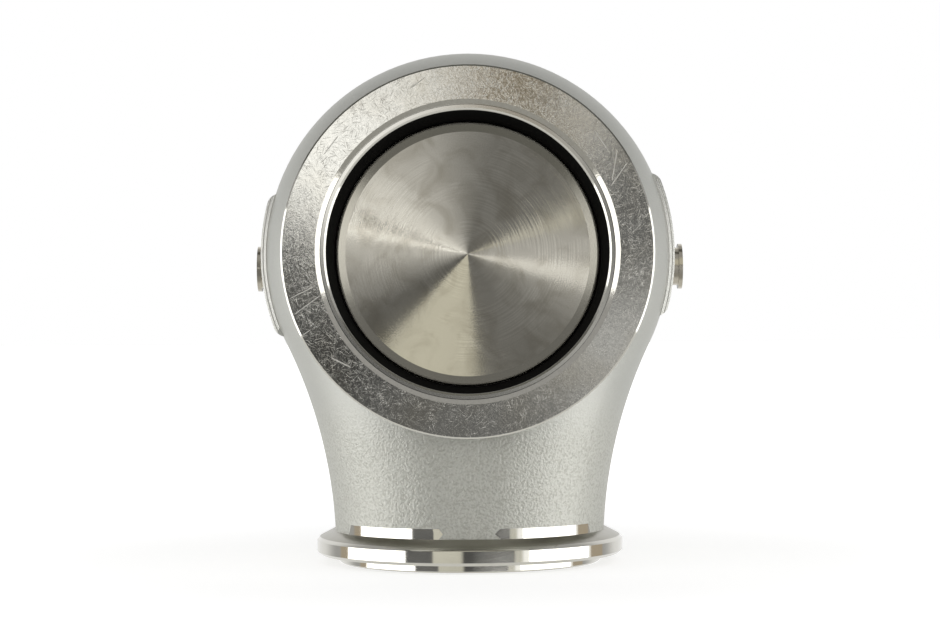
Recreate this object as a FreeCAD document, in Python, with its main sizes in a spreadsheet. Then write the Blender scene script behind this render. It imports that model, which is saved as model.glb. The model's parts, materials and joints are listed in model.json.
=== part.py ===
import FreeCAD, Part
import Sketcher
import math
import os
import re

# An external turbo wastegate of the 60 mm valve class.
# +Z is up. The outlet points down, and the origin is the centre of its pilot lip.
# The inlet faces -Y, and the actuator lies behind the valve housing, towards +Y.
# Places along the valve's axis are given as Y, with the outlet's axis at Y = 0.

V = FreeCAD.Vector
doc = FreeCAD.newDocument("wastegate")

# Driving dimensions, in millimetres. A name ending in _r is a radius.
SIZES = {
    # valve housing: castings and flanges
    "axis_height": 69.0, "face_to_axis": 38.0, "bulb_r": 45.3, "flare_r": 108.0,
    "neck_half_width": 30.0, "neck_half_depth": 30.4, "shoulder_fillet": 26.0, "neck_fillet": 26.0,
    "inlet_rim_r": 39.7, "band_rim": 3.9, "band_taper": 1.5, "band_neck_r": 36.2, "edge_break": 0.35,
    "recess_r": 32.4, "recess_depth": 1.5,
    "outlet_rim_r": 34.6, "outlet_lip_r": 29.5, "outlet_lip": 1.95, "outlet_collar_r": 31.0,
    "collar_height": 2.3, "port_r": 27.3, "wall": 3.0,
    "chamber_r": 34.6, "chamber_rear": 21.5,
    "boss_root_r": 36.0, "boss_r": 25.0, "boss_start": 37.0, "mount_flange_edge": 6.5,
    "mount_flange": 7.0, "mount_face": 51.0,
    # coolant pads and plugs
    "pad_proud": 0.95, "pad_root_r": 38.0, "pad_half_width": 9.0, "pad_span": 43.0, "pad_tilt": 2.8,
    "pad_end_fillet": 3.0,
    "coolant_drop": 2.7, "plug_thread_r": 4.3, "plug_head_r": 5.1, "plug_head": 0.85,
    "plug_depth": 8.0, "plug_socket_flats": 5.0, "plug_socket": 3.0,
    "plug_proud_left": 1.25, "plug_proud_right": 2.15,
    # seat, valve and guide
    "seat_flange_r": 31.4, "seat_flange": 1.5, "seat_r": 30.8, "throat_r": 30.0, "throat_break": 0.6,
    "throat_rear_r": 29.2, "valve_depth": 20.0, "seat_land": 1.4,
    "valve_gap": 0.12, "valve_rim": 2.4, "valve_edge_r": 28.1, "valve_flat_r": 27.3,
    "valve_step": 0.5, "stem_r": 5.0, "stem_gap": 0.05, "tulip_r": 12.0, "tulip": 9.0, "tulip_neck": 1.0,
    "stem_end_r": 4.0, "stem_end": 78.0,
    "guide_r": 7.5, "guide_front": 12.0, "guide_flange_r": 10.0,
    "guide_flange": 2.0,
    # actuator
    "gasket": 1.2, "gasket_bore_r": 14.0, "base_floor": 6.0, "base_step": 4.0, "base_slope": 6.0,
    "rim_width": 9.0, "clamp_face": 68.0, "base_cavity_r": 34.5, "hub_r": 12.0, "hub_top": 61.6,
    "bush_r": 8.0, "bush_lip": 1.0, "bush_rear": 59.4, "seal": 1.3, "retainer": 0.6,
    "retainer_r": 8.6,
    "diaphragm": 1.2, "diaphragm_rise": 7.8, "fold": 1.8, "piston_gap": 5.5, "piston_floor": 2.2,
    "piston_wall": 2.0, "piston_height": 14.0, "cup_drop": 1.8, "plate_inset": 4.0, "plate": 2.2,
    "washer_r": 9.0, "washer": 1.2, "nut_flats": 13.0, "nut": 5.4, "part_gap": 0.2,
    "cap_flange": 4.0, "cap_wall": 3.2, "cap_bore_gap": 0.1, "cap_taper": 7.0,
    "cap_crown": 16.0, "cap_waist_inset": 3.8, "ceiling": 113.0, "ceiling_inset": 7.6, "cap_top": 5.0,
    "cap_boss_r": 11.0, "cap_boss": 4.0, "spring_seat": 2.5, "spring_seat_inset": 2.0,
    "seat_step_r": 17.4, "seat_step": 1.5, "seat_bore_r": 9.0,
    "outer_coil_r": 21.0, "outer_wire_r": 1.9, "outer_turns": 5.5,
    "inner_coil_r": 14.0, "inner_wire_r": 1.4, "inner_turns": 6.5, "coil_gap": 0.05,
    # fasteners and fittings
    "base_screws": 6, "base_pitch_inset": 5.0, "base_thread_r": 2.5, "base_head_r": 4.2,
    "base_head": 3.6, "base_reach": 6.0, "base_key": 4.0,
    "cap_screws": 6, "cap_pitch_inset": 2.8, "cap_thread_r": 1.5, "cap_head_r": 2.75,
    "cap_head": 3.0, "cap_reach": 8.0, "cap_key": 2.5, "key_depth": 1.8,
    "port_place": 62.0, "fitting_thread_r": 3.2, "fitting_thread": 7.0, "fitting_flats": 10.0,
    "fitting_hex": 4.0, "spigot_r": 3.0, "spigot": 13.0, "hose_groove_r": 2.6, "hose_groove": 1.6,
    "fitting_bore_r": 1.5,
}

# Places worked out from those sizes, in the same words.
PLACES = {
    "face": "-face_to_axis",
    "recess_floor": "face + recess_depth",
    "pad_r": "bulb_r + pad_proud",
    "taper_front": "face + band_rim",
    "taper_rear": "taper_front + band_taper",
    "lip_top": "outlet_lip",
    "rim_top": "lip_top + band_rim",
    "bevel_top": "rim_top + band_taper",
    "valve_front": "face + valve_depth",
    "seat_rear": "valve_front + seat_land",
    "valve_r": "throat_rear_r + seat_land - valve_gap",
    "valve_rear": "seat_rear + valve_gap + valve_rim",
    "guide_step": "mount_face - guide_flange",
    "base_pitch_r": "base_cavity_r - base_pitch_inset",
    "mount_flange_r": "base_pitch_r + mount_flange_edge",
    "rim_r": "base_cavity_r + rim_width",
    "cap_pitch_r": "rim_r - cap_pitch_inset",
    "piston_r": "base_cavity_r - piston_gap",
    "plate_r": "piston_r - plate_inset",
    "cap_bore_r": "base_cavity_r + cap_bore_gap",
    "cap_waist_r": "cap_bore_r - cap_waist_inset",
    "ceiling_r": "cap_bore_r - ceiling_inset",
    "spring_seat_r": "ceiling_r - spring_seat_inset",
    "base_front": "mount_face + gasket",
    "floor_top": "base_front + base_floor",
    "plate_rear": "cup_front - diaphragm",
    "plate_front": "plate_rear - plate",
    "cup_front": "clamp_face - cup_drop",
    "cup_floor": "cup_front + piston_floor",
    "cup_rear": "cup_front + piston_height",
    "nut_front": "cup_floor + washer",
    "cap_front": "clamp_face + diaphragm",
    "cap_waist": "ceiling - cap_crown",
    "cap_straight": "cap_waist - cap_taper",
    "spring_rear": "ceiling - spring_seat",
    "roof": "ceiling + cap_top",
    "boss_top": "roof + cap_boss",
    "groove_end": "fitting_hex + spigot - hose_groove",
}

sheet = doc.addObject("Spreadsheet::Sheet", "Sizes")
for row, (alias, number) in enumerate(SIZES.items(), 1):
    sheet.set("A%d" % row, alias)
    sheet.set("B%d" % row, str(number))
    sheet.setAlias("B%d" % row, alias)
doc.recompute()


def formula(text):
    """The expression for a size or place written in the words of SIZES and PLACES."""
    def swap(match):
        word = match.group(0)
        if word in PLACES:
            return "(" + formula(PLACES[word]) + ")"
        return "Sizes." + word if word in SIZES else word
    return re.sub(r"[a-z_]+", swap, text)


def bind(thing, **properties):
    """Ties properties of an object to expressions. Two underscores stand for a dot."""
    for name, text in properties.items():
        thing.setExpression(name.replace("__", "."), formula(text))


def origin_part(body, role):
    return next(part for part in body.Origin.OriginFeatures if part.Role == role)


def new_body(label, on_axis=True):
    body = doc.addObject("PartDesign::Body", label)
    body.Label = label
    body.AllowCompound = True
    if on_axis:
        bind(body, Placement__Base__z="axis_height")
    return body


def outline(body, plane, points, name):
    """A closed sketch of straight lines. Each point is a pair of expressions."""
    sketch = body.newObject("Sketcher::SketchObject", name)
    sketch.AttachmentSupport = [(origin_part(body, plane), "")]
    sketch.MapMode = "FlatFace"
    count = len(points)
    ring = [V(math.cos(2 * math.pi * k / count), math.sin(2 * math.pi * k / count), 0)
            for k in range(count)]
    for k in range(count):
        sketch.addGeometry(Part.LineSegment(ring[k], ring[(k + 1) % count]))
    for k in range(count):
        sketch.addConstraint(Sketcher.Constraint("Coincident", k, 2, (k + 1) % count, 1))
    for k, point in enumerate(points):
        for kind, text in zip(("DistanceX", "DistanceY"), point):
            index = sketch.addConstraint(Sketcher.Constraint(kind, -1, 1, k, 1, 1.0))
            sketch.setExpression("Constraints[%d]" % index, formula(text))
    return sketch


def turn(body, points, plane="XY_Plane"):
    """Revolves an outline of (radius, place) pairs about the sketch's upright axis."""
    sketch = outline(body, plane, points, body.Label + "_profile")
    turned = body.newObject("PartDesign::Revolution", body.Label + "_turned")
    turned.Profile = sketch
    turned.ReferenceAxis = (sketch, ["V_Axis"])
    turned.Angle = 360
    return turned


def turned_part(label, points):
    body = new_body(label)
    turn(body, points)
    return body


def ring_part(label, bore, outer, front, rear):
    return turned_part(label, [(bore, front), (outer, front), (outer, rear), (bore, rear)])


def polar(body, feature, count):
    """Repeats a feature about the valve's axis."""
    pattern = body.newObject("PartDesign::PolarPattern", feature.Label + "_pattern")
    pattern.Originals = [feature]
    pattern.Axis = (origin_part(body, "Y_Axis"), [""])
    pattern.Angle = 360
    bind(pattern, Occurrences=count)
    body.Tip = pattern
    return pattern


def drill(body, name, radius, pitch, front, rear, count):
    """A ring of round holes along the valve's axis, between two places."""
    sketch = outline(body, "XY_Plane", [(pitch, front), (pitch + " + " + radius, front),
                                        (pitch + " + " + radius, rear), (pitch, rear)], name)
    groove = body.newObject("PartDesign::Groove", name + "_hole")
    groove.Profile = sketch
    groove.ReferenceAxis = (sketch, ["Edge4"])
    groove.Angle = 360
    doc.recompute()
    return polar(body, groove, count)


def cylinder(name, radius, height, turn_by=None, **base):
    """A cylinder along +Z, or turned about X or Y, whose base point is given as x, y, z."""
    thing = doc.addObject("Part::Cylinder", name)
    bind(thing, Radius=radius, Height=height)
    if turn_by:
        thing.Placement.Rotation = turn_by
    bind(thing, **{"Placement__Base__" + axis: text for axis, text in base.items()})
    return thing


def fuse(name, *things):
    joined = doc.addObject("Part::MultiFuse", name)
    joined.Shapes = list(things)
    return joined


def cut(name, base, *tools):
    result = doc.addObject("Part::Cut", name)
    result.Base = base
    result.Tool = tools[0] if len(tools) == 1 else fuse(name + "_tools", *tools)
    return result


UP_TO_BACK = FreeCAD.Rotation(V(1, 0, 0), -90)
UP_TO_DOWN = FreeCAD.Rotation(V(1, 0, 0), 180)
UP_TO_RIGHT = FreeCAD.Rotation(V(0, 1, 0), 90)
UP_TO_LEFT = FreeCAD.Rotation(V(0, 1, 0), -90)


# The valve housing: a round bulb across the inlet that flares down into a squarish neck.
def cast_form():
    """The casting's bulb and neck, as one outline padded along the valve's axis."""
    body = new_body("cast_form")
    sketch = body.newObject("Sketcher::SketchObject", "cast_outline")
    sketch.AttachmentSupport = [(origin_part(body, "XZ_Plane"), "")]
    sketch.MapMode = "FlatFace"
    bulb, flare = sheet.bulb_r, sheet.flare_r
    centre = sheet.neck_half_width + flare
    drop = math.sqrt((bulb + flare) ** 2 - centre ** 2)
    tip = math.atan2(drop, centre)
    foot = -sheet.axis_height + sheet.outlet_lip + sheet.band_rim + sheet.band_taper
    low = math.pi - math.asin((foot + drop) / flare)
    axis = V(0, 0, 1)
    sketch.addGeometry(Part.ArcOfCircle(Part.Circle(V(0, 0, 0), axis, bulb), -tip, math.pi + tip))
    sketch.addGeometry(Part.ArcOfCircle(Part.Circle(V(centre, -drop, 0), axis, flare),
                                        math.pi - tip, low))
    sketch.addGeometry(Part.ArcOfCircle(Part.Circle(V(-centre, -drop, 0), axis, flare),
                                        math.pi - low, tip))
    right = sketch.Geometry[1].EndPoint
    sketch.addGeometry(Part.LineSegment(right, V(-right.x, right.y, 0)))
    for rule in (("Coincident", 0, 3, -1, 1), ("Tangent", 0, 1, 1, 1), ("Tangent", 0, 2, 2, 2),
                 ("Coincident", 1, 2, 3, 1), ("Coincident", 2, 1, 3, 2), ("Horizontal", 3)):
        sketch.addConstraint(Sketcher.Constraint(*rule))
    sizes = ((("Radius", 0, bulb), "bulb_r"), (("Radius", 1, flare), "flare_r"),
             (("Radius", 2, flare), "flare_r"),
             (("DistanceX", -1, 1, 1, 3, centre), "neck_half_width + flare_r"),
             (("DistanceX", 2, 3, -1, 1, centre), "neck_half_width + flare_r"),
             (("DistanceY", 1, 2, -1, 1, -foot), "axis_height - bevel_top"))
    for rule, text in sizes:
        index = sketch.addConstraint(Sketcher.Constraint(*rule))
        sketch.setExpression("Constraints[%d]" % index, formula(text))
    pad = body.newObject("PartDesign::Pad", "cast_pad")
    pad.Profile = sketch
    pad.Midplane = True
    bind(pad, Length="neck_half_depth * 2")
    return body


def blend_cast_form(body):
    """Rounds the casting: a tight shoulder on the bulb that widens down the neck."""
    blend = doc.addObject("Part::Fillet", "cast_blend")
    blend.Base = body
    doc.recompute()
    shoulder, neck = sheet.shoulder_fillet, sheet.neck_fillet
    edges = []
    for number, edge in enumerate(body.Shape.Edges, 1):
        if not isinstance(edge.Curve, Part.Circle):
            continue
        if abs(edge.Curve.Radius - sheet.bulb_r) < 1e-6:
            edges.append((number, shoulder, shoulder))
            continue
        ends = [shoulder if abs(vertex.Z - sheet.axis_height) < sheet.bulb_r else neck
                for vertex in edge.Vertexes]
        edges.append((number, ends[0], ends[1]))
    blend.Edges = edges
    return blend


def coolant_pad(name, turn_text):
    """A low curved pad on the side of the bulb that carries a coolant port."""
    body = new_body(name)
    corners = [("pad_root_r", "-pad_half_width"), ("pad_r", "-pad_half_width"),
               ("pad_r", "pad_half_width"), ("pad_root_r", "pad_half_width")]
    turned = turn(body, corners)
    bind(turned, Angle="pad_span")
    doc.recompute()
    crown = sheet.bulb_r + sheet.pad_proud
    ends = []
    for number, edge in enumerate(turned.Shape.Edges, 1):
        radii = [math.hypot(vertex.X, vertex.Z) for vertex in edge.Vertexes]
        if min(radii) > crown - 1e-6 and not isinstance(edge.Curve, Part.Circle):
            ends.append("Edge%d" % number)
    end_fillet = body.newObject("PartDesign::Fillet", name + "_ends")
    end_fillet.Base = (turned, ends)
    bind(end_fillet, Radius="pad_end_fillet")
    body.Placement.Rotation = FreeCAD.Rotation(V(0, 1, 0), 1)
    bind(body, Placement__Rotation__Angle=turn_text)
    return body


cast = cast_form()
doc.recompute()
blend = blend_cast_form(cast)
collar = turned_part("collar_turning", [
    ("outlet_collar_r", "0"), ("bulb_r", "0"), ("bulb_r", "collar_height"),
    ("outlet_collar_r", "collar_height")])
collar.Placement.Rotation = FreeCAD.Rotation(V(1, 0, 0), 90)
bind(collar, Placement__Base__z="bevel_top")
neck = cut("turned_neck", blend, collar)

inlet_flange = turned_part("inlet_flange", [
    ("0", "face"), ("inlet_rim_r - edge_break", "face"), ("inlet_rim_r", "face + edge_break"),
    ("inlet_rim_r", "taper_front - edge_break"), ("inlet_rim_r - edge_break", "taper_front"),
    ("band_neck_r", "taper_rear"), ("band_neck_r", "0"), ("0", "0")])
outlet_flange = new_body("outlet_flange", on_axis=False)
turn(outlet_flange, [
    ("0", "0"), ("outlet_lip_r - edge_break", "0"), ("outlet_lip_r", "edge_break"),
    ("outlet_lip_r", "lip_top"), ("outlet_rim_r - edge_break * 2", "lip_top"),
    ("outlet_rim_r", "lip_top + edge_break * 2"), ("outlet_rim_r", "rim_top - edge_break * 2"),
    ("outlet_rim_r - edge_break * 2", "rim_top"), ("outlet_collar_r", "bevel_top"),
    ("0", "bevel_top")], "XZ_Plane")
rear_boss = turned_part("rear_boss", [
    ("0", "0"), ("boss_root_r", "0"), ("boss_root_r", "neck_half_depth"),
    ("boss_r", "boss_start"), ("boss_r", "mount_face - mount_flange - wall"),
    ("mount_flange_r - wall", "mount_face - mount_flange"),
    ("mount_flange_r", "mount_face - mount_flange"), ("mount_flange_r", "mount_face"),
    ("0", "mount_face")])
pads = [coolant_pad("right_pad", "-pad_span / 2 - pad_tilt"),
        coolant_pad("left_pad", "180 - pad_span / 2 - pad_tilt")]
passage = turned_part("passage", [
    ("0", "face - wall"), ("recess_r", "face - wall"), ("recess_r", "recess_floor"),
    ("seat_flange_r", "recess_floor"), ("seat_flange_r", "recess_floor + seat_flange"),
    ("seat_r", "recess_floor + seat_flange"), ("seat_r", "seat_rear"),
    ("chamber_r - wall", "seat_rear"), ("chamber_r", "seat_rear + wall"),
    ("chamber_r", "chamber_rear - wall * 2"), ("chamber_r - wall * 2", "chamber_rear"),
    ("guide_r", "chamber_rear"), ("guide_r", "guide_step"), ("guide_flange_r", "guide_step"),
    ("guide_flange_r", "mount_face + wall"), ("0", "mount_face + wall")])
port = cylinder("outlet_port", "port_r", "axis_height - seat_r")
bind(port, Placement__Base__z="-wall")
port_column = cylinder("port_column", "port_r", "axis_height")
port_window = doc.addObject("Part::Box", "port_window")
bind(port_window, Length="port_r * 2", Width="chamber_rear - wall * 2 - seat_rear",
     Height="axis_height", Placement__Base__x="-port_r", Placement__Base__y="seat_rear")
port_upper = doc.addObject("Part::Common", "port_upper")
port_upper.Base = port_column
port_upper.Tool = port_window
coolant_holes = [
    cylinder("coolant_hole_right", "plug_thread_r", "plug_depth + wall", UP_TO_RIGHT,
             x="pad_r - plug_depth", z="axis_height - coolant_drop"),
    cylinder("coolant_hole_left", "plug_thread_r", "plug_depth + wall", UP_TO_LEFT,
             x="plug_depth - pad_r", z="axis_height - coolant_drop")]
screw_holes = new_body("mount_screw_holes")
turned = turn(screw_holes, [
    ("base_pitch_r", "mount_face - base_reach"), ("base_pitch_r + base_thread_r",
                                                  "mount_face - base_reach"),
    ("base_pitch_r + base_thread_r", "mount_face + wall"), ("base_pitch_r", "mount_face + wall")])
turned.ReferenceAxis = (turned.Profile[0], ["Edge4"])
doc.recompute()
polar(screw_holes, turned, "base_screws")
solid_housing = fuse("housing_solid", neck, inlet_flange, outlet_flange, rear_boss, *pads)
housing = cut("valve_housing", solid_housing, passage, port, port_upper, *coolant_holes,
              screw_holes)


# Pieces of the valve housing.
seat = turned_part("valve_seat", [
    ("throat_r + throat_break", "recess_floor"), ("seat_flange_r", "recess_floor"),
    ("seat_flange_r", "recess_floor + seat_flange"), ("seat_r", "recess_floor + seat_flange"),
    ("seat_r", "seat_rear"), ("throat_rear_r + seat_land", "seat_rear"),
    ("throat_rear_r", "valve_front"), ("throat_r", "recess_floor + throat_break")])
guide = turned_part("valve_guide", [
    ("stem_r + stem_gap", "guide_front"), ("guide_r - edge_break * 2", "guide_front"),
    ("guide_r", "guide_front + edge_break * 2"), ("guide_r", "guide_step"),
    ("guide_flange_r", "guide_step"), ("guide_flange_r", "mount_face"),
    ("stem_r + stem_gap", "mount_face")])


def screw_plug(label, thread, reach, neck_text, head_r, head, flats, socket):
    """A turned plug along +Z with its seat at the origin and a hexagon socket."""
    shank = cylinder(label + "_shank", thread, reach + " + " + neck_text)
    bind(shank, Placement__Base__z="-(" + reach + ")")
    cap = cylinder(label + "_head", head_r, head)
    bind(cap, Placement__Base__z=neck_text)
    key = doc.addObject("Part::Prism", label + "_key")
    key.Polygon = 6
    bind(key, Circumradius=flats + " / sqrt(3)", Height=socket + " + wall",
         Placement__Base__z=neck_text + " + " + head + " - " + socket)
    return cut(label, fuse(label + "_blank", shank, cap), key)


for side, rotation, sign in (("left", UP_TO_LEFT, "-"), ("right", UP_TO_RIGHT, "")):
    proud = "plug_proud_" + side
    plug = screw_plug("coolant_plug_" + side, "plug_thread_r", "plug_depth",
                      proud + " - plug_head", "plug_head_r", "plug_head",
                      "plug_socket_flats", "plug_socket")
    plug.Placement.Rotation = rotation
    bind(plug, Placement__Base__x=sign + "pad_r", Placement__Base__z="axis_height - coolant_drop")

gasket = ring_part("heat_gasket", "gasket_bore_r", "mount_flange_r", "mount_face", "base_front")
drill(gasket, "gasket_hole", "base_thread_r + part_gap", "base_pitch_r", "mount_face - wall",
      "base_front + wall", "base_screws")

# The actuator base, its bush and seal.
base = turned_part("actuator_base_form", [
    ("stem_r + bush_lip / 2", "base_front"), ("mount_flange_r", "base_front"),
    ("mount_flange_r", "base_front + base_step"), ("rim_r", "base_front + base_slope"),
    ("rim_r", "clamp_face"), ("base_cavity_r", "clamp_face"), ("base_cavity_r", "floor_top"),
    ("hub_r", "floor_top"), ("hub_r", "hub_top"), ("bush_r", "hub_top"),
    ("bush_r", "bush_rear + seal + retainer"), ("retainer_r", "bush_rear + seal + retainer"),
    ("retainer_r", "bush_rear + seal"), ("bush_r", "bush_rear + seal"),
    ("bush_r", "base_front + bush_lip"), ("stem_r + bush_lip / 2", "base_front + bush_lip")])
drill(base, "base_screw_hole", "base_thread_r + part_gap", "base_pitch_r", "mount_face",
      "floor_top + wall", "base_screws")
drill(base, "cap_screw_hole", "cap_thread_r", "cap_pitch_r", "cap_front + cap_flange - cap_reach",
      "clamp_face + wall", "cap_screws")
side_ports = cylinder("side_ports", "fitting_thread_r", "axis_height + rim_r",
                      y="port_place", z="(axis_height - rim_r) / 2")
side_core = cylinder("side_core", "base_cavity_r", "clamp_face", UP_TO_BACK, z="axis_height")
port_holes = cut("port_holes", side_ports, side_core)
actuator_base = cut("actuator_base", base, port_holes)
ring_part("stem_bush", "stem_r + stem_gap", "bush_r", "base_front + bush_lip", "bush_rear")
ring_part("stem_seal", "stem_r + stem_gap", "bush_r", "bush_rear", "bush_rear + seal")
ring_part("seal_retainer", "stem_r + bush_lip", "retainer_r", "bush_rear + seal",
          "bush_rear + seal + retainer")

# The diaphragm: clamped at its rim, and rolled up round the piston.
skin = turned_part("diaphragm", [
    ("rim_r - edge_break", "clamp_face"), ("rim_r - edge_break", "cap_front"),
    ("base_cavity_r - part_gap", "cap_front"),
    ("base_cavity_r - part_gap", "cap_front + diaphragm_rise - diaphragm"),
    ("base_cavity_r - part_gap - diaphragm", "cap_front + diaphragm_rise"),
    ("piston_r + part_gap + diaphragm", "cap_front + diaphragm_rise"),
    ("piston_r + part_gap", "cap_front + diaphragm_rise - diaphragm"),
    ("piston_r + part_gap", "cup_front"), ("stem_end_r + part_gap", "cup_front"),
    ("stem_end_r + part_gap", "plate_rear"), ("piston_r + part_gap + diaphragm", "plate_rear"),
    ("piston_r + part_gap + diaphragm", "cap_front + diaphragm_rise - fold"),
    ("piston_r + part_gap + fold", "cap_front + diaphragm_rise - diaphragm"),
    ("base_cavity_r - part_gap - fold", "cap_front + diaphragm_rise - diaphragm"),
    ("base_cavity_r - part_gap - diaphragm", "cap_front + diaphragm_rise - fold"),
    ("base_cavity_r - part_gap - diaphragm", "clamp_face")])
drill(skin, "diaphragm_hole", "cap_thread_r + part_gap", "cap_pitch_r", "clamp_face - wall",
      "cap_front + wall", "cap_screws")

# The actuator cap, its springs and their seat.
cap = turned_part("actuator_cap", [
    ("cap_bore_r", "cap_front"), ("rim_r", "cap_front"), ("rim_r", "cap_front + cap_flange"),
    ("cap_bore_r + cap_wall", "cap_front + cap_flange"), ("cap_bore_r + cap_wall", "cap_straight"),
    ("cap_waist_r + cap_wall", "cap_waist"), ("ceiling_r + cap_wall", "ceiling"),
    ("ceiling_r", "roof"), ("cap_boss_r", "roof"), ("cap_boss_r", "boss_top"),
    ("fitting_thread_r", "boss_top"), ("fitting_thread_r", "ceiling"), ("ceiling_r", "ceiling"),
    ("cap_waist_r", "cap_waist"), ("cap_bore_r", "cap_straight")])
drill(cap, "cap_hole", "cap_thread_r + part_gap", "cap_pitch_r", "clamp_face",
      "cap_front + cap_flange + wall", "cap_screws")
turned_part("spring_seat", [
    ("seat_bore_r", "spring_rear"), ("seat_step_r - seat_step", "spring_rear - seat_step"),
    ("seat_step_r", "spring_rear - seat_step"), ("seat_step_r", "spring_rear"),
    ("spring_seat_r", "spring_rear"), ("spring_seat_r", "ceiling"), ("seat_bore_r", "ceiling")])


def coil_spring(label, coil, wire, turns, front, rear):
    """A spring along the valve's axis between two flat seats, of eight-sided wire."""
    body = new_body(label)
    section = []
    for k in range(8):
        angle = math.pi * (k + 0.5) / 4
        section.append(("%s + %s * %.5f" % (coil, wire, math.cos(angle)),
                        "%s + coil_gap + %s * %.5f" % (front, wire, 1 + math.sin(angle))))
    sketch = outline(body, "XY_Plane", section, label + "_wire")
    helix = body.newObject("PartDesign::AdditiveHelix", label + "_coil")
    helix.Profile = sketch
    helix.ReferenceAxis = (sketch, ["V_Axis"])
    helix.Mode = "height-turns-angle"
    span = "({}) - ({}) - ({} + coil_gap) * 2".format(rear, front, wire)
    bind(helix, Height=span, Turns=turns)


coil_spring("outer_spring", "outer_coil_r", "outer_wire_r", "outer_turns", "cup_floor",
            "spring_rear")
coil_spring("inner_spring", "inner_coil_r", "inner_wire_r", "inner_turns", "cup_floor",
            "spring_rear - seat_step")


# Fasteners: each set is one body of separate screws on a pitch circle.
def cap_head_screws(label, pitch, thread, head_r, head, key, seat_text, reach, count):
    body = new_body(label)
    bore = pitch + " + " + key + " / 2"
    shank = pitch + " + " + thread
    rim = pitch + " + " + head_r
    crown = seat_text + " + " + head
    screw = turn(body, [
        (pitch, seat_text + " - (" + reach + ")"), (shank, seat_text + " - (" + reach + ")"),
        (shank, seat_text), (rim, seat_text), (rim, crown), (bore, crown),
        (bore, crown + " - key_depth"), (pitch, crown + " - key_depth")])
    screw.ReferenceAxis = (screw.Profile[0], ["Edge8"])
    doc.recompute()
    return polar(body, screw, count)


cap_head_screws("base_screws", "base_pitch_r", "base_thread_r", "base_head_r", "base_head",
                "base_key", "floor_top", "base_floor + gasket + base_reach", "base_screws")
cap_head_screws("cap_screws", "cap_pitch_r", "cap_thread_r", "cap_head_r", "cap_head",
                "cap_key", "cap_front + cap_flange", "cap_reach", "cap_screws")


# Fittings on the actuator's air ports.
def hose_fitting(label):
    """A hose spigot along +Z with its seat at the origin."""
    body = new_body(label + "_turned_form", on_axis=False)
    turn(body, [
        ("0", "-fitting_thread"), ("fitting_thread_r", "-fitting_thread"),
        ("fitting_thread_r", "0"), ("fitting_flats / 2 - edge_break", "0"),
        ("fitting_flats / 2 - edge_break", "fitting_hex"), ("spigot_r", "fitting_hex + edge_break"),
        ("spigot_r", "groove_end - hose_groove"), ("hose_groove_r", "groove_end - hose_groove"),
        ("hose_groove_r", "groove_end - spigot_r + hose_groove_r"), ("spigot_r", "groove_end"),
        ("spigot_r", "fitting_hex + spigot - edge_break"),
        ("spigot_r - edge_break", "fitting_hex + spigot"), ("0", "fitting_hex + spigot")], "XZ_Plane")
    hexagon = doc.addObject("Part::Prism", label + "_hexagon")
    hexagon.Polygon = 6
    bind(hexagon, Circumradius="fitting_flats / sqrt(3)", Height="fitting_hex")
    bore = cylinder(label + "_bore", "fitting_bore_r", "fitting_thread + fitting_hex + spigot * 2")
    bind(bore, Placement__Base__z="-fitting_thread - wall")
    return cut(label, fuse(label + "_blank", body, hexagon), bore)


boost_fitting = hose_fitting("boost_fitting")
boost_fitting.Placement.Rotation = UP_TO_DOWN
bind(boost_fitting, Placement__Base__y="port_place", Placement__Base__z="axis_height - rim_r")
top_fitting = hose_fitting("top_fitting")
top_fitting.Placement.Rotation = UP_TO_BACK
bind(top_fitting, Placement__Base__y="boss_top", Placement__Base__z="axis_height")
port_plug = screw_plug("base_port_plug", "fitting_thread_r", "fitting_thread", "0",
                       "fitting_flats / 2", "plug_head * 2", "cap_key", "key_depth")
bind(port_plug, Placement__Base__y="port_place", Placement__Base__z="axis_height + rim_r")

# The moving pieces: the valve and what its stem carries.
turned_part("valve", [
    ("0", "valve_front"), ("valve_flat_r", "valve_front"),
    ("valve_edge_r", "valve_front + valve_step"), ("throat_rear_r - valve_gap",
                                                   "valve_front + valve_step"),
    ("valve_r", "seat_rear + valve_step"), ("valve_r", "valve_rear"),
    ("tulip_r", "valve_rear + wall"), ("stem_r + tulip_neck", "valve_rear + tulip"),
    ("stem_r", "valve_rear + tulip + wall"), ("stem_r", "plate_front"),
    ("stem_end_r", "plate_front"), ("stem_end_r", "stem_end - edge_break"),
    ("stem_end_r - edge_break", "stem_end"), ("0", "stem_end")])
ring_part("diaphragm_plate", "stem_end_r", "plate_r", "plate_front", "plate_rear")
turned_part("piston_cup", [
    ("stem_end_r", "cup_front"), ("piston_r - edge_break", "cup_front"),
    ("piston_r", "cup_front + edge_break"), ("piston_r", "cup_rear"),
    ("piston_r - piston_wall", "cup_rear"), ("piston_r - piston_wall", "cup_floor"),
    ("stem_end_r", "cup_floor")])
ring_part("stem_washer", "stem_end_r", "washer_r", "cup_floor", "nut_front")
nut_blank = doc.addObject("Part::Prism", "nut_blank")
nut_blank.Polygon = 6
bind(nut_blank, Circumradius="nut_flats / sqrt(3)", Height="nut")
nut_bore = cylinder("nut_bore", "stem_end_r", "nut")
stem_nut = cut("stem_nut", nut_blank, nut_bore)
stem_nut.Placement.Rotation = UP_TO_BACK
bind(stem_nut, Placement__Base__y="nut_front", Placement__Base__z="axis_height")

NODES = [
    "valve_housing", "valve_seat", "valve_guide", "coolant_plug_left", "coolant_plug_right",
    "heat_gasket", "actuator_base", "base_screws", "stem_bush", "stem_seal", "seal_retainer",
    "diaphragm", "actuator_cap", "cap_screws", "spring_seat", "outer_spring", "inner_spring",
    "boost_fitting", "base_port_plug", "top_fitting", "valve", "diaphragm_plate", "piston_cup",
    "stem_washer", "stem_nut"]

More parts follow.
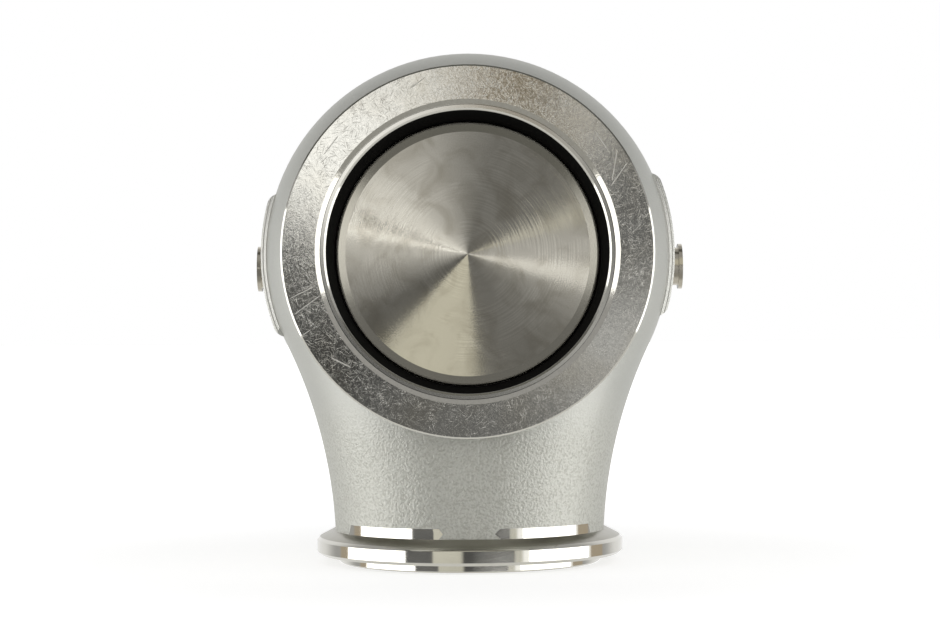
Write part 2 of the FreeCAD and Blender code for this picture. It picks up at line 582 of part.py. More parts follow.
doc.recompute()
faults = [thing.Name for thing in doc.Objects
          if "Invalid" in thing.State or "Error" in thing.State]
if faults:
    raise RuntimeError("objects that failed to build: " + ", ".join(faults))
os.makedirs("parts", exist_ok=True)
for node in NODES:
    shape = doc.getObjectsByLabel(node)[0].Shape
    if shape.isNull() or not shape.isValid() or not shape.Solids:
        raise RuntimeError(node + " has no valid shape")
    shape.exportStep("parts/%s.step" % node)
    print(node, len(shape.Solids), round(shape.Volume, 1))
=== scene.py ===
import json
import math

import bmesh
import bpy
from mathutils import Matrix, Vector
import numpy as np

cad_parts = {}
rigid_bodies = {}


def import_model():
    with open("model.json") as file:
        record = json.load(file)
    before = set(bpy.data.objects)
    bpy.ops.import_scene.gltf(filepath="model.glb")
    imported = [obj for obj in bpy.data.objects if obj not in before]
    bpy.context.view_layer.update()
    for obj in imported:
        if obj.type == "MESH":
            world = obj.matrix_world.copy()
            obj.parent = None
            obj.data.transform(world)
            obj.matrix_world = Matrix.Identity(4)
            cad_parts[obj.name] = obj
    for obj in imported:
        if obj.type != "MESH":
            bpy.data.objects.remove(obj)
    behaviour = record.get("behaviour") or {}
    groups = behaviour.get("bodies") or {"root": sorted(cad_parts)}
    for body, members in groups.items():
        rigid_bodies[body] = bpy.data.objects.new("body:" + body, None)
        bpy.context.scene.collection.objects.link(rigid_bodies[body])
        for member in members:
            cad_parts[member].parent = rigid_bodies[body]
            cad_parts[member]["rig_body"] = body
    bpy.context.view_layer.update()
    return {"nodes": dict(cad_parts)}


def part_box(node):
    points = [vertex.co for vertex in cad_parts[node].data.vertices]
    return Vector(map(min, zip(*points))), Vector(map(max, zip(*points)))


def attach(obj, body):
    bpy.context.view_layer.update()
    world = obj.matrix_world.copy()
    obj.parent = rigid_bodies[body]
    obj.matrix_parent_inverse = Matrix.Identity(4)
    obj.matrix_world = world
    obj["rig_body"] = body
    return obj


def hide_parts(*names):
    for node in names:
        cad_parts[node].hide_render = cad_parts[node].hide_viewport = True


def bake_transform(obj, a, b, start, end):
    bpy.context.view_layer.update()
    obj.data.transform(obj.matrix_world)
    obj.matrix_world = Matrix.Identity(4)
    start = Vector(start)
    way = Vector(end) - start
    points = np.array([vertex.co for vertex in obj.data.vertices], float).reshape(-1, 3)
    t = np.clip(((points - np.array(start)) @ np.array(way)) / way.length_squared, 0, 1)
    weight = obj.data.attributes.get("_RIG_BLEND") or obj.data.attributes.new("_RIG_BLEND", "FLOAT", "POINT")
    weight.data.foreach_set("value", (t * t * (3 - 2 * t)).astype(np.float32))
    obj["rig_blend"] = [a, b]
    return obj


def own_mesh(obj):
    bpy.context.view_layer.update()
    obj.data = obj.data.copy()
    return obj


# An external turbo wastegate, standing on its outlet flange with its inlet towards the viewer.
# Lengths are in metres, except that materials and names that end in _mm are in millimetres.

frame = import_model()

# Places read from the frame: the valve's axis, the inlet's face and the valve's front.
valve_low, valve_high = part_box("valve")
AXIS = Vector((0, 0, (valve_low.z + valve_high.z) / 2))
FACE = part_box("valve_housing")[0].y
VALVE_FRONT = valve_low.y

# Sizes that no box gives, the same as the solids have.
INLET_RIM_R, INLET_NECK_R, INLET_BAND = 0.0397, 0.0362, 0.0054
RECESS_R, RECESS_DEPTH = 0.0324, 0.0015
SEAT_FLANGE_R = 0.0314
VALVE_STEP = 0.0005
OUTLET_PORT_R, OUTLET_COLLAR_R = 0.0273, 0.031
OUTLET_RIM_TOP, OUTLET_BEVEL_TOP, OUTLET_COLLAR_TOP = 0.00585, 0.00735, 0.00965
MOUNT_FLANGE_FRONT = 0.044

# Where the rear face's turning begins, where the pads' walls lie, and where the diaphragm rolls.
MOUNT_TURNED_R = 0.02
PAD_SIDE, PAD_FOOT = 0.0425, 0.04
ROLL_INNER_R, ROLL_OUTER_R = 0.0311, 0.0325

# How far a facet may lie off its size, how far a chord lies inside its arc, and a hair's breadth.
SLACK = 0.0002
SAGITTA = 0.00006
HAIR = 0.00001


# Materials: a small class for shader maths, and one function for each finish.

class Wire:
    """An output socket of a material, so that shader maths is written as expressions."""

    def __init__(self, paint, socket):
        self.paint = paint
        self.socket = socket

    def maths(self, operation, *others):
        values = {k: other for k, other in enumerate((self,) + others)}
        return self.paint.add("ShaderNodeMath", {"operation": operation}, values)

    def __add__(self, other):
        return self.maths("ADD", other)

    __radd__ = __add__

    def __mul__(self, other):
        return self.maths("MULTIPLY", other)

    __rmul__ = __mul__

    def __sub__(self, other):
        return self.maths("SUBTRACT", other)

    def __rsub__(self, other):
        return (self * -1) + other

    def __truediv__(self, other):
        return self.maths("DIVIDE", other)

    def root(self):
        return self.maths("SQRT")

    def degrees(self, across):
        """The angle whose tangent is this over another wire."""
        return self.maths("ARCTAN2", across).maths("DEGREES")

    def ramp(self, start, end):
        """0 up to start and 1 from end, with a smooth turn between."""
        settings = {"interpolation_type": "SMOOTHSTEP", "clamp": True}
        return self.paint.add("ShaderNodeMapRange", settings, {0: self, 1: start, 2: end})


class Paint:
    """A material or a world under construction, and the nodes that it is made of."""

    def __init__(self, owner):
        self.owner = owner
        owner.use_nodes = True
        self.tree = owner.node_tree
        self.tree.nodes.clear()

    def node(self, kind, settings, values):
        made = self.tree.nodes.new(kind)
        for name, setting in settings.items():
            if name == "stops":
                self.set_stops(made.color_ramp, setting)
            else:
                setattr(made, name, setting)
        for key, value in values.items():
            if isinstance(value, Wire):
                self.tree.links.new(value.socket, made.inputs[key])
            else:
                made.inputs[key].default_value = value
        return made

    def set_stops(self, ramp, stops):
        while len(ramp.elements) < len(stops):
            ramp.elements.new(1.0)
        for element, (place, shade) in zip(ramp.elements, stops):
            element.position = place
            element.color = shade if len(shade) == 4 else (*shade, 1)

    def add(self, kind, settings=None, values=None, output=0):
        return Wire(self, self.node(kind, settings or {}, values or {}).outputs[output])

    def place(self):
        """The piece's own coordinates, in millimetres."""
        metres = self.add("ShaderNodeTexCoord", output="Object")
        return self.add("ShaderNodeVectorMath", {"operation": "SCALE"},
                        {0: metres, "Scale": 1000.0})

    def parts(self, vector):
        split = self.node("ShaderNodeSeparateXYZ", {}, {0: vector})
        return [Wire(self, socket) for socket in split.outputs]

    def stretch(self, vector, scale):
        return self.add("ShaderNodeVectorMath", {"operation": "MULTIPLY"}, {0: vector, 1: scale})

    def noise(self, vector, scale, detail=2.0, roughness=0.5, distortion=0.0):
        values = {"Vector": vector, "Scale": scale, "Detail": detail, "Roughness": roughness,
                  "Distortion": distortion}
        return self.add("ShaderNodeTexNoise", {}, values)

    def bands(self, distance_mm, scale, detail, roughness=0.5):
        """Noise along one distance, as a lathe's grooves vary."""
        values = {"W": distance_mm, "Scale": scale, "Detail": detail, "Roughness": roughness}
        return self.add("ShaderNodeTexNoise", {"noise_dimensions": "1D"}, values)

    def ramp_round(self, angle, stops):
        """Shades by angle in degrees, each stop an angle and a brightness or a colour."""
        placed = [((at + 180) / 360, shade if isinstance(shade, tuple) else (shade,) * 3)
                  for at, shade in stops]
        return self.add("ShaderNodeValToRGB", {"stops": placed}, {0: angle * (1 / 360) + 0.5})

    def mix(self, factor, first, second):
        return self.add("ShaderNodeMix", {"data_type": "RGBA"}, {0: factor, 6: first, 7: second},
                        output=2)

    def bump(self, height, distance_mm):
        values = {"Height": height, "Distance": distance_mm / 1000}
        return self.add("ShaderNodeBump", {}, values)

    def surface(self, **values):
        """Ends the material in one Principled shader. Underscores stand for spaces."""
        named = {name.replace("_", " "): value for name, value in values.items()}
        shader = self.add("ShaderNodeBsdfPrincipled", {}, named)
        self.node("ShaderNodeOutputMaterial", {}, {"Surface": shader})
        return self.owner


def new_paint(name):
    return Paint(bpy.data.materials.new(name))


def colour(red, green, blue):
    """An eight-bit display colour as the linear colour that shaders take."""
    levels = [c / 255 for c in (red, green, blue)]
    return tuple(c / 12.92 if c <= 0.04045 else ((c + 0.055) / 1.055) ** 2.4 for c in levels) + (1,)


class Spot:
    """A point of a piece in millimetres, and its height over and radius from the valve's axis."""

    def __init__(self, paint):
        self.where = paint.place()
        self.x, self.y, z = paint.parts(self.where)
        self.up = z - AXIS.z * 1000
        self.radius = (self.x * self.x + self.up * self.up).root()


def blasted_casting():
    """Fine bead-blasted skin on the bulb, coarser orange peel down the neck."""
    paint = new_paint("blasted_casting")
    at = Spot(paint)
    neck = (at.up * -1).ramp(28.0, 44.0)
    peel = paint.noise(at.where, 1.9)
    grain = paint.noise(at.where, 5.0, roughness=0.6)
    cloud = paint.noise(at.where, 0.06, detail=3.0)
    height = peel * neck * 1.4 + grain * (0.24 - neck * 0.1)
    shade = paint.mix(cloud, colour(196, 197, 192), colour(206, 206, 200))
    warm = paint.mix(neck * 0.8, shade, colour(210, 210, 202))
    fleck = (grain - peel * 0.15).ramp(0.3, 0.62)
    tone = paint.mix(fleck * 0.35, warm, colour(222, 222, 216))
    pit = (1 - peel.ramp(0.36, 0.56)) * neck
    tone = paint.mix(pit * 0.42, tone, colour(170, 169, 159))
    return paint.surface(Base_Color=tone, Metallic=0.85, Roughness=0.5 + grain * 0.12,
                         Normal=paint.bump(height, 0.16))


def turned_steel(name, rough, light, dark, groove_mm):
    """A lathe-turned rim, with fine rings about the valve's axis."""
    paint = new_paint(name)
    at = Spot(paint)
    rings = paint.bands(at.radius + at.y * 0.7, 9.0, 3.0)
    cloud = paint.noise(at.where, 0.25, detail=4.0)
    tone = paint.mix(cloud, dark, light)
    return paint.surface(Base_Color=tone, Metallic=1.0, Roughness=rough + rings * 0.08,
                         Normal=paint.bump(rings, groove_mm))


# Long scratches on the inlet's face: x and height over the axis of each end, in millimetres.
SCRATCHES = ((31.8, 21.5, 30.6, 14.3), (34.2, 19.0, 30.3, 13.5), (-38.0, -9.8, -32.3, -7.0),
             (-37.0, -13.2, -31.2, -9.0), (-35.3, -17.6, -33.2, -16.2), (27.0, 25.5, 30.0, 21.0),
             (-30.5, 20.5, -27.0, 25.0), (-12.0, 34.5, -8.5, 37.2), (-29.5, -22.0, -24.5, -24.5))

# The ways in which the inlet's face was rubbed, as angles in radians.
RUBBED_WAYS = (0.2, 0.75, 1.3, 1.85, 2.4, 2.95)


def scratch(x, up, ends):
    """1 on a hairline between two points and 0 elsewhere."""
    start_x, start_up, end_x, end_up = ends
    length = math.hypot(end_x - start_x, end_up - start_up)
    way_x, way_up = (end_x - start_x) / length, (end_up - start_up) / length
    along = (x - (start_x + end_x) / 2) * way_x + (up - (start_up + end_up) / 2) * way_up
    aside = (up - start_up) * way_x - (x - start_x) * way_up
    inside = 1 - along.maths("ABSOLUTE").ramp(length / 2 - 1.2, length / 2)
    return inside * (1 - aside.maths("ABSOLUTE").ramp(0.05, 0.13))


def lapped_face():
    """The inlet flange's face: rubbed flat, mottled, and scratched in every direction."""
    paint = new_paint("lapped_face")
    at = Spot(paint)
    flat = paint.stretch(at.where, (1.0, 0.0, 1.0))
    mottle = paint.noise(flat, 1.2, detail=6.0, roughness=0.7, distortion=0.6)
    grain = paint.noise(flat, 3.0, detail=3.0, roughness=0.7)
    patch = paint.noise(flat, 0.06, detail=4.0)
    hairs = 0.0
    for angle in RUBBED_WAYS:
        way = paint.add("ShaderNodeVectorRotate", {"rotation_type": "Y_AXIS"},
                        {"Vector": flat, "Angle": angle})
        line = paint.noise(paint.stretch(way, (0.35, 0.0, 5.0)), 1.0 + angle * 0.1, detail=1.0)
        gate = paint.noise(way, 0.22, detail=1.0).ramp(0.42, 0.6)
        hairs = (line.ramp(0.6, 0.72) * gate) + hairs
    scratches = 0.0
    for ends in SCRATCHES:
        scratches = scratch(at.x, at.up, ends) + scratches
    marks = (hairs * 0.55 + scratches).maths("MINIMUM", 1.0)
    speck = (mottle * 0.5 + grain * 0.5).ramp(0.44, 0.6)
    tone = paint.mix(speck, colour(190, 189, 182), colour(222, 220, 212))
    tone = paint.mix(patch.ramp(0.4, 0.7) * 0.35, tone, colour(184, 176, 156))
    tone = paint.mix(marks * 0.6, tone, colour(244, 242, 236))
    height = mottle * 0.7 - marks * 0.3
    return paint.surface(Base_Color=tone, Metallic=1.0,
                         Roughness=0.03 + speck * 0.075 + marks * 0.3,
                         Normal=paint.bump(height, 0.007))


def valve_face():
    """The valve's turned front, a little dished, whose grooves spread light along each radius."""
    paint = new_paint("valve_face")
    at = Spot(paint)
    grooves = paint.bands(at.radius, 9.0, 3.0, roughness=0.8)
    rings = paint.bands(at.radius, 2.2, 2.0, roughness=0.6)
    group = paint.noise(at.where, 0.09).ramp(0.48, 0.6)
    grit = paint.noise(at.where, 4.5)
    grit_up = paint.noise(paint.stretch(at.where, (1.0, 1.0, -1.0)), 4.5)
    dish = 0.2
    tip = (grooves - 0.5) * 0.4 + (rings - 0.5) * (group * 0.16 + 0.02) - dish
    tipped = tip / at.radius.maths("MAXIMUM", 0.4)
    across = at.x * tipped + (grit - 0.5) * 0.07
    upward = at.up * tipped + (grit_up - 0.5) * 0.07
    normal = paint.add("ShaderNodeCombineXYZ", {}, {0: across, 1: -1.0, 2: upward})
    normal = paint.add("ShaderNodeVectorMath", {"operation": "NORMALIZE"}, {0: normal})
    stain = paint.noise(at.where, 0.14, detail=5.0, distortion=0.8)
    tone = paint.mix(rings.ramp(0.4, 0.6) * group, colour(198, 194, 182), colour(208, 204, 192))
    tone = paint.mix(stain.ramp(0.4, 0.75) * 0.55, tone, colour(152, 146, 130))
    return paint.surface(Base_Color=tone, Metallic=1.0, Roughness=0.06 + grit * 0.07,
                         Normal=normal)


def shade_painted_bore():
    """The seat: a bright flange in the recess, and a throat painted black as painted shade, for the shadow
    and dark reflection in its bore.
    """
    paint = new_paint("shade_painted_bore")
    at = Spot(paint)
    # Painted shade: deeper than the recess the colour goes near black, matt and not metallic, to stand for
    # the bore's shadow and dark reflection.
    bore_shade = paint.noise(at.where, 0.5, detail=4.0)
    deep = (at.y - (FACE + RECESS_DEPTH) * 1000).ramp(0.35, 0.5)
    black = paint.mix(bore_shade, colour(5, 5, 4), colour(13, 12, 10))
    joint_mm = SEAT_FLANGE_R * 1000 - 0.02
    off_joint = (at.radius - joint_mm).maths("ABSOLUTE").ramp(0.05, 0.1)
    bright = paint.mix(off_joint, colour(60, 58, 54), colour(204, 202, 194))
    return paint.surface(Base_Color=paint.mix(deep, bright, black), Metallic=1 - deep,
                         Roughness=0.1 + deep * 0.9, Specular_IOR_Level=0.1)


def pad_wall():
    """The front wall of a side pad, whose two edges are rounded."""
    paint = new_paint("pad_wall")
    at = Spot(paint)
    grain = paint.noise(at.where, 3.0)
    root_edge = at.radius.ramp(45.1, 45.6)
    brow_edge = at.radius.ramp(45.85, 46.3)
    height = grain * 0.08 - root_edge - brow_edge
    tone = paint.mix(grain, colour(196, 196, 190), colour(212, 211, 205))
    return paint.surface(Base_Color=tone, Metallic=0.85, Roughness=0.34 + grain * 0.1,
                         Normal=paint.bump(height, 0.4))


def turned_alloy(name, light, dark, rough):
    """Anodised alloy, with the fine rings that its turning leaves about the axis."""
    paint = new_paint(name)
    at = Spot(paint)
    rings = paint.bands(at.radius + at.y * 0.6, 2.6, 4.0)
    cloud = paint.noise(at.where, 0.08, detail=3.0)
    grain = paint.noise(at.where, 4.0)
    tone = paint.mix(cloud * 0.6 + rings * 0.4, dark, light)
    return paint.surface(Base_Color=tone, Metallic=1.0, Roughness=rough + grain * 0.08,
                         Normal=paint.bump(rings + grain * 0.3, 0.008))


def plain_finish(name, tone, rough, grain_mm=0.3, metallic=1.0):
    """A plain metal finish with a little grain, or rubber or cloth where metallic is 0."""
    paint = new_paint(name)
    grain = paint.noise(paint.place(), 1 / grain_mm, detail=3.0)
    darker = tuple(c * 0.8 for c in tone[:3]) + (1,)
    return paint.surface(Base_Color=paint.mix(grain, darker, tone), Metallic=metallic,
                         Roughness=rough + grain * 0.1, Normal=paint.bump(grain, 0.01))


# Pieces.

def smooth_copy(node, name, paints, pick, rides=True):
    """A copy of a CAD node with its corners merged and its curves shaded smooth."""
    source = frame["nodes"][node]
    mesh = source.data.copy()
    mesh.name = name
    mesh.attributes.remove(mesh.attributes["custom_normal"])
    work = bmesh.new()
    work.from_mesh(mesh)
    bmesh.ops.remove_doubles(work, verts=work.verts, dist=1e-6)
    bmesh.ops.dissolve_degenerate(work, edges=work.edges, dist=1e-7)
    mesh.materials.clear()
    for paint in paints:
        mesh.materials.append(paint)
    for face in work.faces:
        face.smooth = True
        face.material_index = pick(face.calc_center_median(), face.normal)
    work.to_mesh(mesh)
    work.free()
    mesh.set_sharp_from_angle(angle=math.radians(24))
    piece = bpy.data.objects.new(name, mesh)
    bpy.context.scene.collection.objects.link(piece)
    if rides:
        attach(piece, source["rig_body"])
    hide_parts(node)
    return piece


def shorten(piece):
    """Gives a spring, which the valve presses together towards its fixed end, its own copy of its mesh."""
    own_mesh(piece)


def roll(piece, inner, outer):
    """A diaphragm that moves with the valve within inner and stays clamped beyond outer."""
    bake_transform(piece, "housing", "valve_assembly", AXIS, AXIS + Vector((outer, 0, 0)))
    for corner, share in zip(piece.data.vertices, piece.data.attributes["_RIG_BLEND"].data):
        spread = math.hypot(corner.co.x, corner.co.z - AXIS.z)
        share.value = min(max((outer - spread) / (outer - inner), 0.0), 1.0)


def ring_piece(name, section, body, paint):
    """A ring about the valve's axis, spun from its section of radius and depth in metres."""
    work = bmesh.new()
    corners = [work.verts.new((radius, depth, AXIS.z)) for radius, depth in section]
    edges = [work.edges.new((a, b)) for a, b in zip(corners, corners[1:] + corners[:1])]
    bmesh.ops.spin(work, geom=corners + edges, cent=AXIS, axis=(0, 1, 0), angle=math.tau,
                   steps=160, use_merge=True)
    bmesh.ops.remove_doubles(work, verts=work.verts, dist=1e-6)
    bmesh.ops.recalc_face_normals(work, faces=work.faces)
    for face in work.faces:
        face.smooth = True
    mesh = bpy.data.meshes.new(name)
    work.to_mesh(mesh)
    work.free()
    mesh.set_sharp_from_angle(angle=math.radians(15))
    mesh.materials.append(paint)
    piece = bpy.data.objects.new(name, mesh)
    bpy.context.scene.collection.objects.link(piece)
    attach(piece, body)
    return piece


def one_finish(centre, normal):
    """The finish of a piece that has only one."""
    return 0


def valve_finish(centre, normal):
    """0 for the valve's plain steel and 1 for its turned front."""
    return int(normal.y < -0.9 and centre.y < VALVE_FRONT + VALVE_STEP + SLACK)


def housing_finish(centre, normal):
    """0 as cast, 1 on the lapped face, 2 where turned, 3 on the outlet's bevel, 4 on pad walls."""
    radius = math.hypot(centre.x, centre.z - AXIS.z)
    if centre.y < FACE + SLACK and normal.y < -0.9:
        return 1
    bored = radius < INLET_NECK_R - SLACK and centre.y > FACE + RECESS_DEPTH + SLACK / 2
    if centre.y < FACE + INLET_BAND + SLACK and radius < INLET_RIM_R + SLACK and not bored:
        return 2
    spread = math.hypot(centre.x, centre.y)
    if centre.z < OUTLET_BEVEL_TOP + HAIR and spread > OUTLET_PORT_R + SLACK / 2:
        return 3 if centre.z > OUTLET_RIM_TOP + HAIR else 2
    fore_or_aft = abs(centre.x) < abs(centre.y) * 1.6
    if centre.z < OUTLET_COLLAR_TOP and abs(spread - OUTLET_COLLAR_R) < SAGITTA and fore_or_aft:
        return 2
    if centre.y > MOUNT_FLANGE_FRONT - SLACK and radius > MOUNT_TURNED_R:
        return 2
    if abs(centre.x) > PAD_SIDE and normal.y < -0.9 and centre.z > PAD_FOOT:
        return 4
    return 0


blasted = blasted_casting()
turned = turned_steel("turned_rim", 0.03, colour(208, 206, 198), colour(198, 196, 188), 0.0005)
lapped = lapped_face()
# The seat's finish, whose throat is painted black as painted shade.
bore_shade = shade_painted_bore()
steel = plain_finish("plain_steel", colour(200, 198, 190), 0.3)
zinc = plain_finish("zinc_steel", colour(190, 190, 188), 0.3)
brass = plain_finish("turned_brass", colour(214, 184, 120), 0.25)
rubber = plain_finish("rubber", colour(40, 38, 36), 0.6, metallic=0.0)
sheet = plain_finish("insulating_sheet", colour(92, 92, 90), 0.8, metallic=0.0)
bevel = turned_steel("turned_bevel", 0.26, colour(176, 174, 165), colour(160, 157, 147), 0.004)
housing = smooth_copy("valve_housing", "cast_housing", [blasted, lapped, turned, bevel, pad_wall()],
                      housing_finish)
seat = smooth_copy("valve_seat", "seat_insert", [bore_shade], one_finish)

# The narrow slope round the recess.
polished = plain_finish("polished_steel", colour(206, 203, 194), 0.06, grain_mm=0.6)
cone_outer, cone_inner = RECESS_R - HAIR, 0.03145
cone_front, cone_rear = FACE + 0.0008, FACE + RECESS_DEPTH - 0.00005
cone = [(cone_outer, cone_front), (cone_inner, cone_rear), (cone_outer, cone_rear)]
ring_piece("recess_cone", cone, "housing", polished)

# The sloped ring round the valve's flat front.
land = plain_finish("valve_land", colour(146, 143, 133), 0.2, grain_mm=0.4)
land_inner, land_crest, land_outer = 0.0269, 0.0284, 0.0287
land_front, land_rear = VALVE_FRONT - 0.0008, VALVE_FRONT + 0.0004
rim = [(land_inner, VALVE_FRONT - HAIR), (land_crest, land_front), (land_outer, land_front),
       (land_outer, land_rear), (land_inner, land_rear)]
ring_piece("valve_rim_land", rim, "valve_assembly", land)

valve = smooth_copy("valve", "poppet_valve", [steel, valve_face()], valve_finish)

# Plugs, actuator and fittings: each node with its finish and its slot; the slots are not used.
plug_metal = plain_finish("plug_metal", colour(196, 190, 176), 0.1, grain_mm=0.6)
rubbed = plain_finish("turned_aluminium", colour(206, 206, 204), 0.22)
spring = plain_finish("spring_steel", colour(120, 122, 126), 0.35)
silicone = plain_finish("silicone_cloth", colour(150, 62, 48), 0.6, metallic=0.0)
base_alloy = turned_alloy("base_alloy", colour(178, 180, 182), colour(160, 162, 164), 0.3)
cap_alloy = turned_alloy("cap_alloy", colour(180, 182, 185), colour(162, 164, 167), 0.26)
for node, paint, slot in (("coolant_plug_left", plug_metal, "plug_steel"),
                          ("coolant_plug_right", plug_metal, "plug_steel"),
                          ("actuator_base", base_alloy, "anodised"),
                          ("actuator_cap", cap_alloy, "anodised"),
                          ("cap_screws", zinc, "screw_steel"),
                          ("boost_fitting", brass, "brass"), ("top_fitting", brass, "brass"),
                          ("base_port_plug", brass, "brass"),
                          ("heat_gasket", sheet, "gasket")):
    smooth_copy(node, node + "_finished", [paint], one_finish)

# What changes shape as the valve lifts: the springs, which here only get meshes of their own, and the
# diaphragm, which rolls.
outer_coil = smooth_copy("outer_spring", "outer_coil", [spring], one_finish)
inner_coil = smooth_copy("inner_spring", "inner_coil", [spring], one_finish)
shorten(outer_coil)
shorten(inner_coil)
skin = smooth_copy("diaphragm", "rolling_diaphragm", [silicone], one_finish, rides=False)
roll(skin, ROLL_INNER_R, ROLL_OUTER_R)

# Nodes that keep their own meshes and take a finish.
for node, paint in (("valve_guide", brass), ("stem_bush", brass), ("stem_seal", rubber),
                    ("seal_retainer", zinc), ("spring_seat", rubbed),
                    ("diaphragm_plate", rubbed), ("piston_cup", rubbed), ("stem_washer", zinc),
                    ("stem_nut", zinc), ("base_screws", zinc)):
    frame["nodes"][node].data.materials.clear()
    frame["nodes"][node].data.materials.append(paint)


# Studio: camera, floor, lamps and the pale surroundings.

def aim(thing, spot, target):
    thing.location = spot
    thing.rotation_euler = (Vector(target) - Vector(spot)).to_track_quat("-Z", "Y").to_euler()


EYE_DISTANCE = 0.525
EYE = Vector((0.0004, FACE - EYE_DISTANCE, AXIS.z - 0.0131))
CAMERA_ROLL = math.radians(0.4)


def make_camera():
    camera = bpy.data.objects.new("camera", bpy.data.cameras.new("camera"))
    camera.data.lens = 95.0
    camera.data.sensor_width = 36.0
    camera.data.clip_start, camera.data.clip_end = 0.01, 20.0
    turn = Matrix.Rotation(CAMERA_ROLL, 4, "Y") @ Matrix.Rotation(math.radians(90), 4, "X")
    camera.matrix_world = Matrix.Translation(EYE) @ turn
    bpy.context.scene.collection.objects.link(camera)
    bpy.context.scene.camera = camera


def softbox(name, azimuth, power):
    """A wide lamp beside the object. Azimuth 0 is the viewer's side, and positive is right."""
    distance, drop = 1.1, 0.1
    lamp = bpy.data.lights.new(name, "AREA")
    lamp.shape = "RECTANGLE"
    lamp.size, lamp.size_y = 1.1, 0.84
    lamp.energy = power
    box = bpy.data.objects.new(name, lamp)
    angle = math.radians(azimuth)
    spot = AXIS + Vector((math.sin(angle) * distance, -math.cos(angle) * distance, -drop))
    aim(box, spot, AXIS)
    bpy.context.scene.collection.objects.link(box)


def pale_floor():
    """A floor that fades to white away from the object and keeps its shadow."""
    work = bmesh.new()
    bmesh.ops.create_grid(work, x_segments=1, y_segments=1, size=4.0)
    mesh = bpy.data.meshes.new("floor")
    work.to_mesh(mesh)
    work.free()
    paint = new_paint("pale_floor")
    light = paint.node("ShaderNodeLightPath", {}, {})
    seen = Wire(paint, light.outputs["Is Camera Ray"])
    x, y, z = paint.parts(paint.place())
    far = (x * x + y * y).root().ramp(60, 300)
    diffuse = paint.add("ShaderNodeBsdfDiffuse", {}, {"Color": (0.8, 0.8, 0.8, 1)})
    glow = paint.add("ShaderNodeEmission", {}, {"Color": WHITE,
                                                "Strength": seen * (0.62 + far * 0.38)})
    both = paint.add("ShaderNodeAddShader", {}, {0: diffuse, 1: glow})
    paint.node("ShaderNodeOutputMaterial", {}, {"Surface": both})
    mesh.materials.append(paint.owner)
    floor = bpy.data.objects.new("floor", mesh)
    floor.visible_glossy = False
    bpy.context.scene.collection.objects.link(floor)


BEIGE = (1.0, 0.98, 0.86)
BROWN = (0.55, 0.47, 0.36)
WHITE = (1, 1, 1, 1)


def tinted(tint, level):
    return tuple(c * level for c in tint)


# Cards close round the viewer and farther out, each stop an angle about the valve's axis and a
# brightness or a colour. Angle 0 is right and 90 is up.
NEAR_LENS = ((-180, 0.16), (-160, 0.05), (-130, 0.2), (-60, 0.23), (-45, 0.34), (-34, 0.46),
             (-22, 0.7), (-6, 0.7), (3, 0.52), (12, 0.3), (20, 0.2), (44, 0.2), (52, 0.46),
             (57, 1.05), (62, 1.0), (66, tinted(BROWN, 0.5)), (82, tinted(BROWN, 0.65)),
             (92, tinted(BROWN, 0.9)), (94, 1.2), (115, 1.4), (130, 1.7), (147, 1.7),
             (151, 0.8), (153, 0.2), (180, 0.16))
WIDER = ((-180, 0.66), (-172, 0.6), (-164, 0.42), (-153, 0.26), (-105, 0.25), (-88, 0.38),
         (-68, 0.62), (-45, 0.8), (-24, 1.25), (-17, 2.0), (-8, 2.0), (-5, 0.82), (4, 0.78),
         (12, 0.56), (24, 0.34), (35, 0.18), (48, 0.17), (51, tinted(BEIGE, 0.84)),
         (70, tinted(BEIGE, 0.86)), (93, tinted(BEIGE, 0.8)), (96, 0.24), (120, 0.23),
         (140, 0.3), (158, 0.5), (161, 1.2), (169, 1.2), (172, 0.68), (180, 0.66))
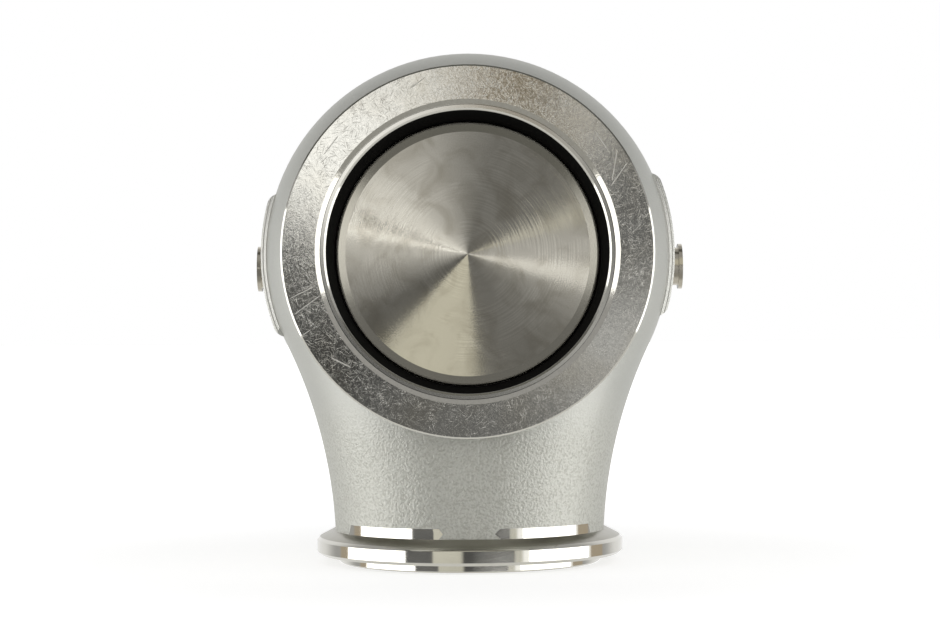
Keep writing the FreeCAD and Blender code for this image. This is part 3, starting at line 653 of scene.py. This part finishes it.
# Along the foot of the room, by azimuth: 0 is the viewer's side and 90 is right.
FOOT = ((-180, 0.5), (-113, 0.5), (-112, BROWN), (-102, BROWN), (-101, 1.5), (-49, 1.5),
        (-48, 0.13), (-28, 0.13), (-27, tinted(BEIGE, 0.9)), (-6, tinted(BEIGE, 0.9)),
        (-5, 0.1), (33, 0.1), (34, tinted(BEIGE, 0.7)), (39, tinted(BEIGE, 0.7)), (40, 1.5),
        (101, 1.5), (102, BROWN), (117, BROWN), (118, 0.5), (180, 0.5))


def surroundings():
    """Cards and a dim room in front, which the metal mirrors, and white behind and to the eye."""
    world = bpy.data.worlds.new("studio")
    bpy.context.scene.world = world
    paint = Paint(world)
    x, y, z = paint.parts(paint.add("ShaderNodeTexCoord", output="Generated"))
    off_axis = (y * -1).maths("ARCCOSINE").maths("DEGREES")
    around = z.degrees(x)
    azimuth = x.degrees(y * -1)
    cards = paint.mix(off_axis.ramp(6.5, 8.0), paint.ramp_round(around, NEAR_LENS),
                      paint.ramp_round(around, WIDER))
    # Bench below, walls above it, and a dark beam overhead.
    bench = paint.mix(y.ramp(-0.5, -0.1), (0.44, 0.44, 0.42, 1), (0.85, 0.85, 0.83, 1))
    room = paint.mix(z.ramp(-0.35, -0.16), bench, (0.5, 0.5, 0.5, 1))
    beam = y.ramp(-0.26, -0.16) * (1 - y.ramp(0.1, 0.2)) * z.ramp(0.4, 0.55)
    room = paint.mix(beam, room, (0.14, 0.14, 0.13, 1))
    view = paint.mix(off_axis.ramp(30, 55), cards, room)
    # The band of things along the foot of the room.
    foot = z.ramp(-0.114, -0.108) * (1 - z.ramp(-0.078, -0.073))
    view = paint.mix(foot, view, paint.ramp_round(azimuth, FOOT))
    # White to the eye, and to mirrors and glass where they look behind the object.
    light = paint.node("ShaderNodeLightPath", {}, {})
    seen = Wire(paint, light.outputs["Is Camera Ray"])
    mirrored = Wire(paint, light.outputs["Is Glossy Ray"])
    through = Wire(paint, light.outputs["Is Transmission Ray"])
    behind = mirrored.maths("MAXIMUM", through) * y.ramp(0.45, 0.8)
    tone = paint.mix(seen.maths("MAXIMUM", behind), view, WHITE)
    glow = paint.add("ShaderNodeBackground", {}, {"Color": tone, "Strength": 1.0})
    paint.node("ShaderNodeOutputWorld", {}, {"Surface": glow})


make_camera()
pale_floor()
surroundings()
softbox("left_softbox", azimuth=-75, power=6.5)
softbox("right_softbox", azimuth=71, power=6.0)
bpy.context.scene.view_settings.view_transform = "Standard"
